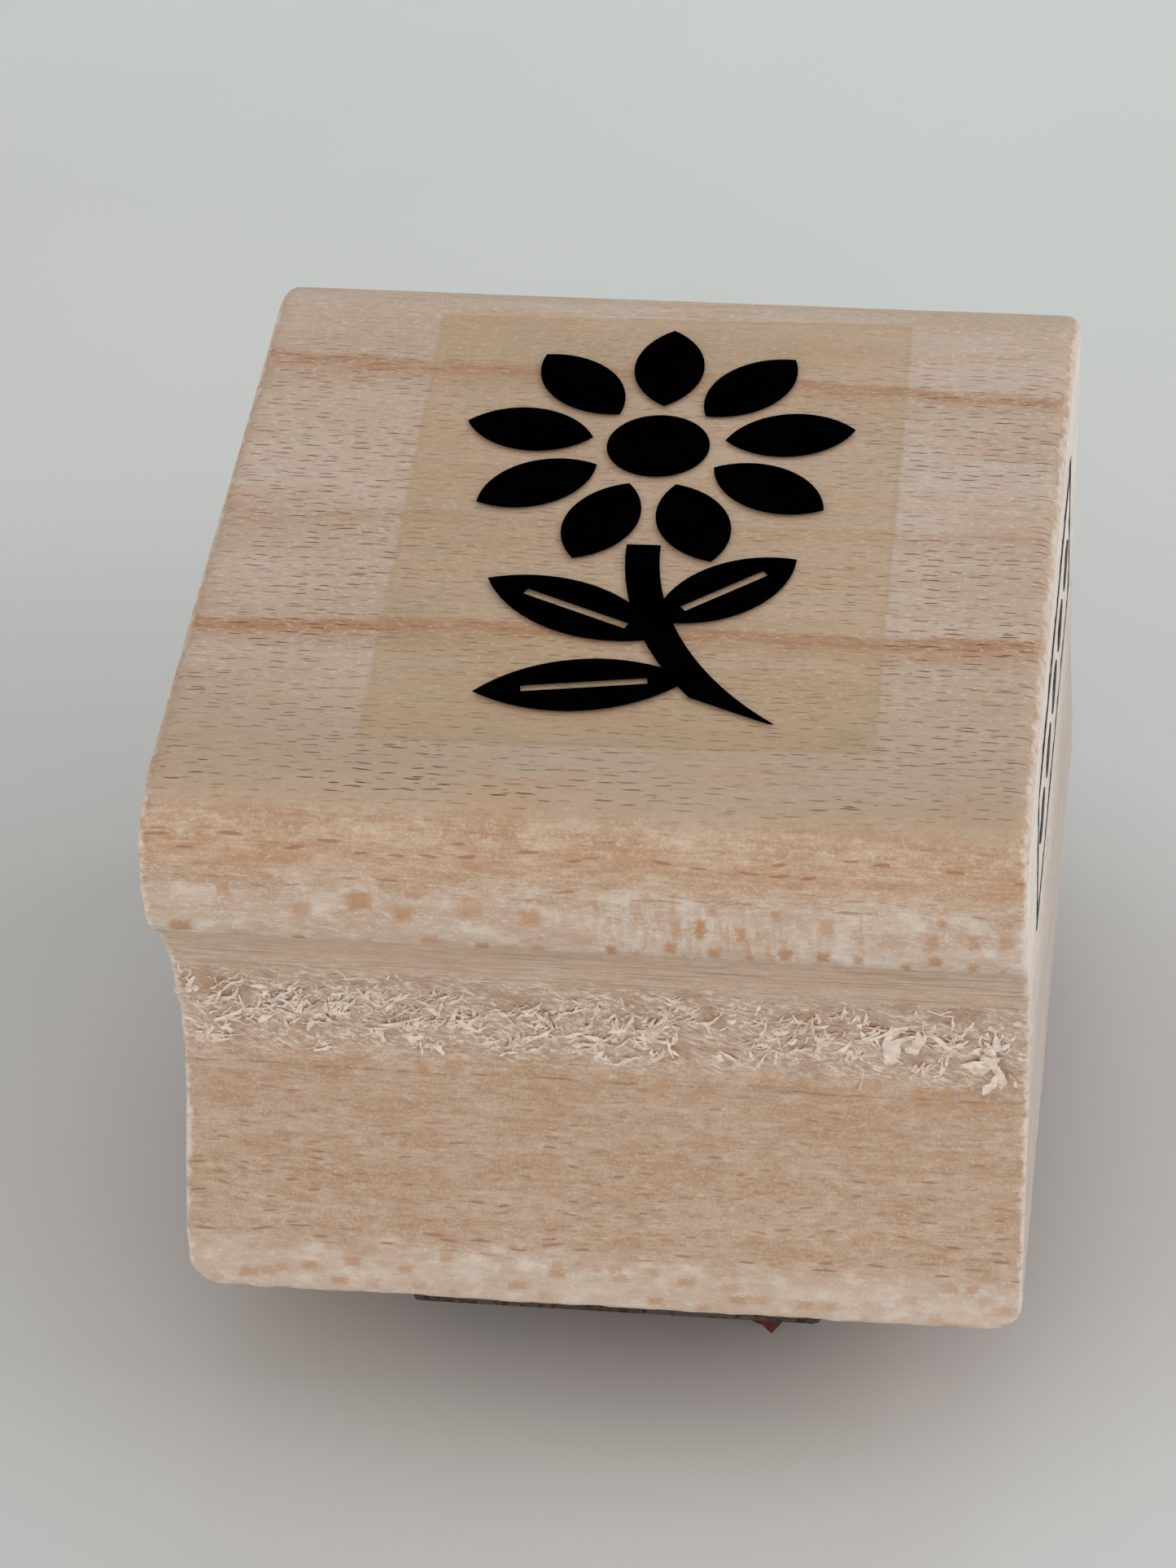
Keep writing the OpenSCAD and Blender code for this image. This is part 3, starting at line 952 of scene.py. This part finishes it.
def add_shred(points, faces, draw, side, path, width):
    """A closed, flat strip along a path, with ragged edges and a pointed tip."""
    first, rings = len(points), len(path) - 1

    def add_point(place):
        points.append(Vector((place.x, side * place.y, place.z + BLOCK_LOW.z)))

    thickness = 0.004 + 0.03 * width
    turn = draw.uniform(-0.3, 0.3)
    for i in range(rings):
        heading = (path[i + 1] - path[max(i - 1, 0)]).normalized()
        across = heading.cross(groove_frame(path[i].z)[1]).normalized()
        lift = across.cross(heading)
        across, lift = (across * math.cos(turn) + lift * math.sin(turn),
                        lift * math.cos(turn) - across * math.sin(turn))
        turn += draw.gauss(0, 0.15)
        half = width / 2 * math.sin(math.pi * (0.22 + 0.70 * i / rings)) * draw.uniform(0.55, 1.35)
        middle = path[i] + across * half * draw.uniform(-0.4, 0.4)
        for offset in (-across * half, -lift * thickness, across * half, lift * thickness):
            add_point(middle + offset)
    add_point(path[-1])
    faces.append(tuple(first + i for i in range(4)))
    for r in range(rings - 1):
        for i in range(4):
            a, b = first + 4 * r + i, first + 4 * r + (i + 1) % 4
            faces.append((a, a + 4, b + 4, b))
    tip = len(points) - 1
    for i in range(4):
        faces.append((first + 4 * (rings - 1) + i, tip, first + 4 * (rings - 1) + (i + 1) % 4))


def grow_shred(points, faces, draw, side, root, angle, length, width, fork):
    """A shred that starts just inside the wood at root (x, z). It may fork."""
    x, z = min(max(root[0], 0.3 - HALF_W), HALF_W - 0.4), min(max(root[1], 9.7), 15.0)
    y, outward, _ = groove_frame(z)
    start = Vector((x, y, z)) - outward * 0.05
    path = grow_path(draw, start, angle, length, draw.uniform(0.05, 0.50), draw.gauss(0, 0.55), width)
    add_shred(points, faces, draw, side, path, width)
    if draw.random() < fork:
        bend = draw.choice((-1, 1)) * draw.uniform(0.4, 1.0)
        rise, curl, narrow = draw.uniform(0.05, 0.4), draw.gauss(0, 0.8), 0.65 * width
        branch = grow_path(draw, path[3], angle + bend, length * 0.5, rise, curl, narrow)
        add_shred(points, faces, draw, side, branch, narrow)


def build_torn_fibres():
    """Pale shreds that the cutter tore out of the grooves in tufts: most at the front, some at the back."""
    draw = random.Random(11)
    points, faces = [], []
    for side, count in ((-1, 165), (1, 45)):
        made = 0
        while made < count:
            x = draw.uniform(0.35 - HALF_W, HALF_W - 0.5)
            z = min(14.8, max(10.2, draw.gauss(12.0, 1.0)))
            if draw.random() > 1.3 * torn_amount(x, side * 14.5, z) + 0.04:
                continue
            made += 1
            upper = smoothstep(z, 12.8, 14.2)
            lean = math.radians(draw.gauss(50 - 32 * upper, 18))
            if draw.random() < 0.22:
                lean = math.radians(draw.uniform(-75, 130))
            for _ in range(draw.randint(3, 7)):
                root = (x + draw.gauss(0, 0.30), z + draw.gauss(0, 0.20))
                length = draw.uniform(0.35, 0.85) if draw.random() < 0.6 else draw.uniform(0.8, 1.5)
                width = draw.uniform(0.05, 0.24) * (1 - 0.55 * upper)
                grow_shred(points, faces, draw, side, root, lean + draw.gauss(0, 0.35), length, width, 0.35)
        for _ in range(3 * count):
            root = (draw.uniform(0.3 - HALF_W, HALF_W - 0.4), draw.gauss(12.6, 1.2))
            if draw.random() < torn_amount(root[0], side * 14.5, root[1]) + 0.15:
                lean = math.radians(draw.gauss(25, 35))
                length, width = draw.uniform(0.2, 0.5), draw.uniform(0.025, 0.06)
                grow_shred(points, faces, draw, side, root, lean, length, width, 0.0)

    # A few long shreds across the front groove, and broad flakes near its right end
    for x, z, angle, length, width in (
        (-14.9, 11.2, 40, 2.2, 0.16), (-13.6, 11.9, 38, 1.6, 0.14), (-12.6, 12.5, 35, 1.5, 0.20),
        (-11.2, 10.9, 75, 1.3, 0.26), (-8.6, 11.4, 32, 2.4, 0.18), (-7.4, 12.8, 25, 1.5, 0.12),
        (-5.1, 11.6, 60, 1.2, 0.25), (-3.2, 11.0, 38, 2.0, 0.17), (-1.9, 12.4, 30, 1.9, 0.20),
        (-0.4, 10.9, 52, 1.4, 0.26), (1.1, 11.9, 42, 1.7, 0.15), (2.6, 11.2, 68, 1.1, 0.22),
        (3.4, 12.6, 22, 1.4, 0.14), (6.6, 11.0, 40, 1.6, 0.18), (8.1, 11.3, 75, 1.1, 0.28),
        (9.3, 10.9, 60, 1.0, 0.24), (10.8, 10.8, 88, 2.3, 0.62), (11.5, 11.4, 66, 1.6, 0.50),
        (10.5, 12.2, 40, 1.5, 0.36), (12.0, 12.9, -30, 2.0, 0.30), (12.5, 11.5, 125, 1.2, 0.26),
        (13.3, 11.0, 28, 1.4, 0.30), (13.9, 10.6, 62, 1.5, 0.85), (14.4, 12.3, -68, 2.3, 0.52),
        (14.9, 11.9, 100, 1.1, 0.34), (15.1, 10.8, -55, 1.1, 0.36), (13.0, 12.7, -15, 1.0, 0.22),
    ):
        grow_shred(points, faces, draw, -1, (x, z), math.radians(angle), length, width, 0.6)
    fibres = make_piece("torn_fibres", points, faces, [torn_wood()], smooth=False)
    tidy = bmesh.new()
    tidy.from_mesh(fibres.data)
    bmesh.ops.recalc_face_normals(tidy, faces=tidy.faces)
    tidy.to_mesh(fibres.data)
    tidy.free()
    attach(fibres, "handle")


# ---- foam cushion and rubber die


def build_cushion():
    """The foam pad: a lattice box with rounded corners, cut sides that pull in a little, and open bubbles."""
    low, high = box_mm("cushion")
    centre, half = (low + high) / 2, (high - low) / 2
    corner_r, pitch, pull_in, bubble = 0.25, 0.27, 0.12, 0.035
    counts = [max(2, round(2 * half[i] / (pitch if i < 2 else 0.25))) for i in range(3)]
    points, index, faces = [], {}, []

    def corner(cell):
        if cell in index:
            return index[cell]
        x, y, z = (half[i] * (2 * cell[i] / counts[i] - 1) for i in range(3))
        over_x, over_y = abs(x) - (half.x - corner_r), abs(y) - (half.y - corner_r)
        if over_x > 0 and over_y > 0:
            shrink = max(over_x, over_y) / math.hypot(over_x, over_y)
            x = math.copysign(half.x - corner_r + over_x * shrink, x)
            y = math.copysign(half.y - corner_r + over_y * shrink, y)
        beside = smoothstep(max(abs(x) - half.x, abs(y) - half.y), -1.2, 0.0)
        waist = pull_in * (1 - (z / half.z) ** 2) * beside
        x *= 1 - waist / half.x
        y *= 1 - waist / half.y
        inner = 1 - (z / half.z) ** 4
        rough = bubble * noise.noise(Vector((x, y, z)) / 0.3) * inner * beside
        x += math.copysign(rough, x) - math.copysign(bubble, x) * beside
        y += math.copysign(rough, y) - math.copysign(bubble, y) * beside
        index[cell] = len(points)
        points.append(centre + Vector((x, y, z)))
        return index[cell]

    for axis in range(3):
        u, v = (axis + 1) % 3, (axis + 2) % 3
        for side in (0, counts[axis]):
            for i in range(counts[u]):
                for j in range(counts[v]):
                    quad = []
                    for a, b in ((i, j), (i + 1, j), (i + 1, j + 1), (i, j + 1)):
                        cell = [0, 0, 0]
                        cell[axis], cell[u], cell[v] = side, a, b
                        quad.append(corner(tuple(cell)))
                    faces.append(tuple(quad if side else reversed(quad)))
    cushion = make_piece("foam_cushion", points, faces, [foam()])
    cushion.data.set_sharp_from_angle(angle=math.radians(50))
    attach(cushion, "handle")
    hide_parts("cushion")
    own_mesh(cushion)


def build_die():
    """The rubber die: the CAD shape with softened edges."""
    die = bpy.data.objects.new("moulded_die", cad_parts["rubber_die"].data.copy())
    bpy.context.scene.collection.objects.link(die)
    work = bmesh.new()
    work.from_mesh(die.data)
    bmesh.ops.remove_doubles(work, verts=work.verts, dist=0.002 * MM)
    bmesh.ops.dissolve_limit(work, angle_limit=math.radians(1.0), verts=work.verts, edges=work.edges)
    sharp = [e for e in work.edges if len(e.link_faces) == 2 and e.calc_face_angle(0) > math.radians(40)]
    bmesh.ops.bevel(work, geom=sharp, offset=0.05 * MM, segments=2, profile=0.5, affect="EDGES",
                    clamp_overlap=True)
    bmesh.ops.triangulate(work, faces=[f for f in work.faces if len(f.verts) > 4])
    bmesh.ops.recalc_face_normals(work, faces=work.faces)
    work.to_mesh(die.data)
    work.free()
    die.data.materials.clear()
    die.data.materials.append(red_rubber())
    die.data.polygons.foreach_set("use_smooth", [True] * len(die.data.polygons))
    die.data.set_sharp_from_angle(angle=math.radians(35))
    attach(die, "die")
    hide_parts("rubber_die")


def build_scene():
    add_camera()
    add_light()
    bpy.ops.mesh.primitive_plane_add(size=4)
    floor = bpy.context.object
    floor.name = "table_top"
    floor.data.materials.append(table_top())
    build_block()
    build_torn_fibres()
    build_cushion()
    build_die()
    for node, material in {
        "index_adhesive": clear_layer("label_glue", (0.80, 0.66, 0.46), 0.03, 0.50),
        "index_film": clear_layer("label_film", (0.82, 0.70, 0.50), 0.04, 0.42),
        "index_print": printed_ink(),
        "end_print": stamped_ink(),
        "mount_adhesive": tape_edge(),
        "die_adhesive": tape_edge(),
    }.items():
        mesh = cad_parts[node].data
        mesh.materials.clear()
        mesh.materials.append(material)


build_scene()
